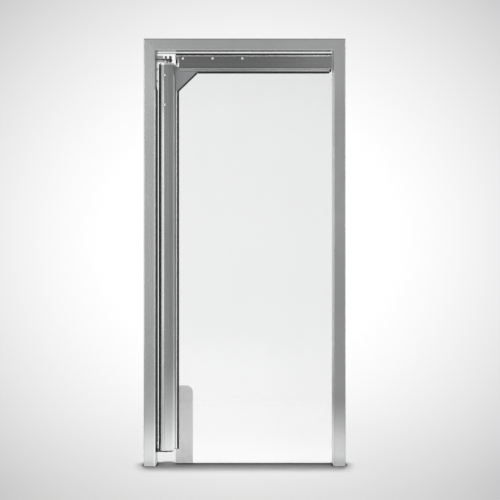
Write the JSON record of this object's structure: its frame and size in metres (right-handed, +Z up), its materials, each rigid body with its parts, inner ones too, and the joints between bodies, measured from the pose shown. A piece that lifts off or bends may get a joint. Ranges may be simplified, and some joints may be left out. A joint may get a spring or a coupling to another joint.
{
  "type": "pvc swing door",
  "caption": "Double-acting passage door: steel tube frame, clear flexible sheet hung from a folded steel stile and top rail, sprung to close from both sides.",
  "frame": {"origin": "on the outer side face of the hinge jamb, at floor level, in the middle of its depth", "axes": "+X across the doorway from the hinge jamb to the strike jamb, +Y through the doorway, +Z up"},
  "size_m": [1.02, 0.08, 2.16],
  "materials": {
    "frame_steel": "satin",
    "leaf_steel": "satin",
    "plate_steel": "satin",
    "hinge_steel": "satin",
    "pin_steel": "polished",
    "bearing_plastic": "satin",
    "gasket_rubber": "matte",
    "clear_pvc": "gloss",
    "milky_pvc": "satin"
  },
  "bodies": {
    "frame": {"hinge_jamb": "frame_steel", "strike_jamb": "frame_steel", "header": "frame_steel", "jamb_seal": "gasket_rubber", "top_hinge_bracket": "hinge_steel", "top_pivot_pin": "pin_steel", "arm_end_bolt": "pin_steel", "bottom_hinge_bracket": "pin_steel", "bottom_pivot_pin": "pin_steel"},
    "leaf": {"stile_profile": "leaf_steel", "stile_top_cap": "hinge_steel", "stile_bottom_cap": "hinge_steel", "top_swing_collar": "hinge_steel", "top_bush": "bearing_plastic", "bottom_bush": "bearing_plastic", "rail_profile": "leaf_steel", "rail_hinge_end_cap": "leaf_steel", "rail_free_end_cap": "leaf_steel", "corner_plate_front": "plate_steel", "corner_plate_back": "plate_steel", "stile_gasket_front": "gasket_rubber", "stile_gasket_back": "gasket_rubber", "rail_gasket_front": "gasket_rubber", "rail_gasket_back": "gasket_rubber", "corner_gasket_front": "gasket_rubber", "corner_gasket_back": "gasket_rubber", "pvc_sheet": "clear_pvc", "foot_patch_front": "milky_pvc", "foot_patch_back": "milky_pvc"}
  },
  "joints": [
    {"name": "leaf_swing", "type": "hinge", "parent": "frame", "child": "leaf", "pos_m": [0.107, 0, 0.08], "axis": [0, 0, 1], "range_deg": [-90, 90], "stiffness_Nm_per_rad": 4}
  ]
}
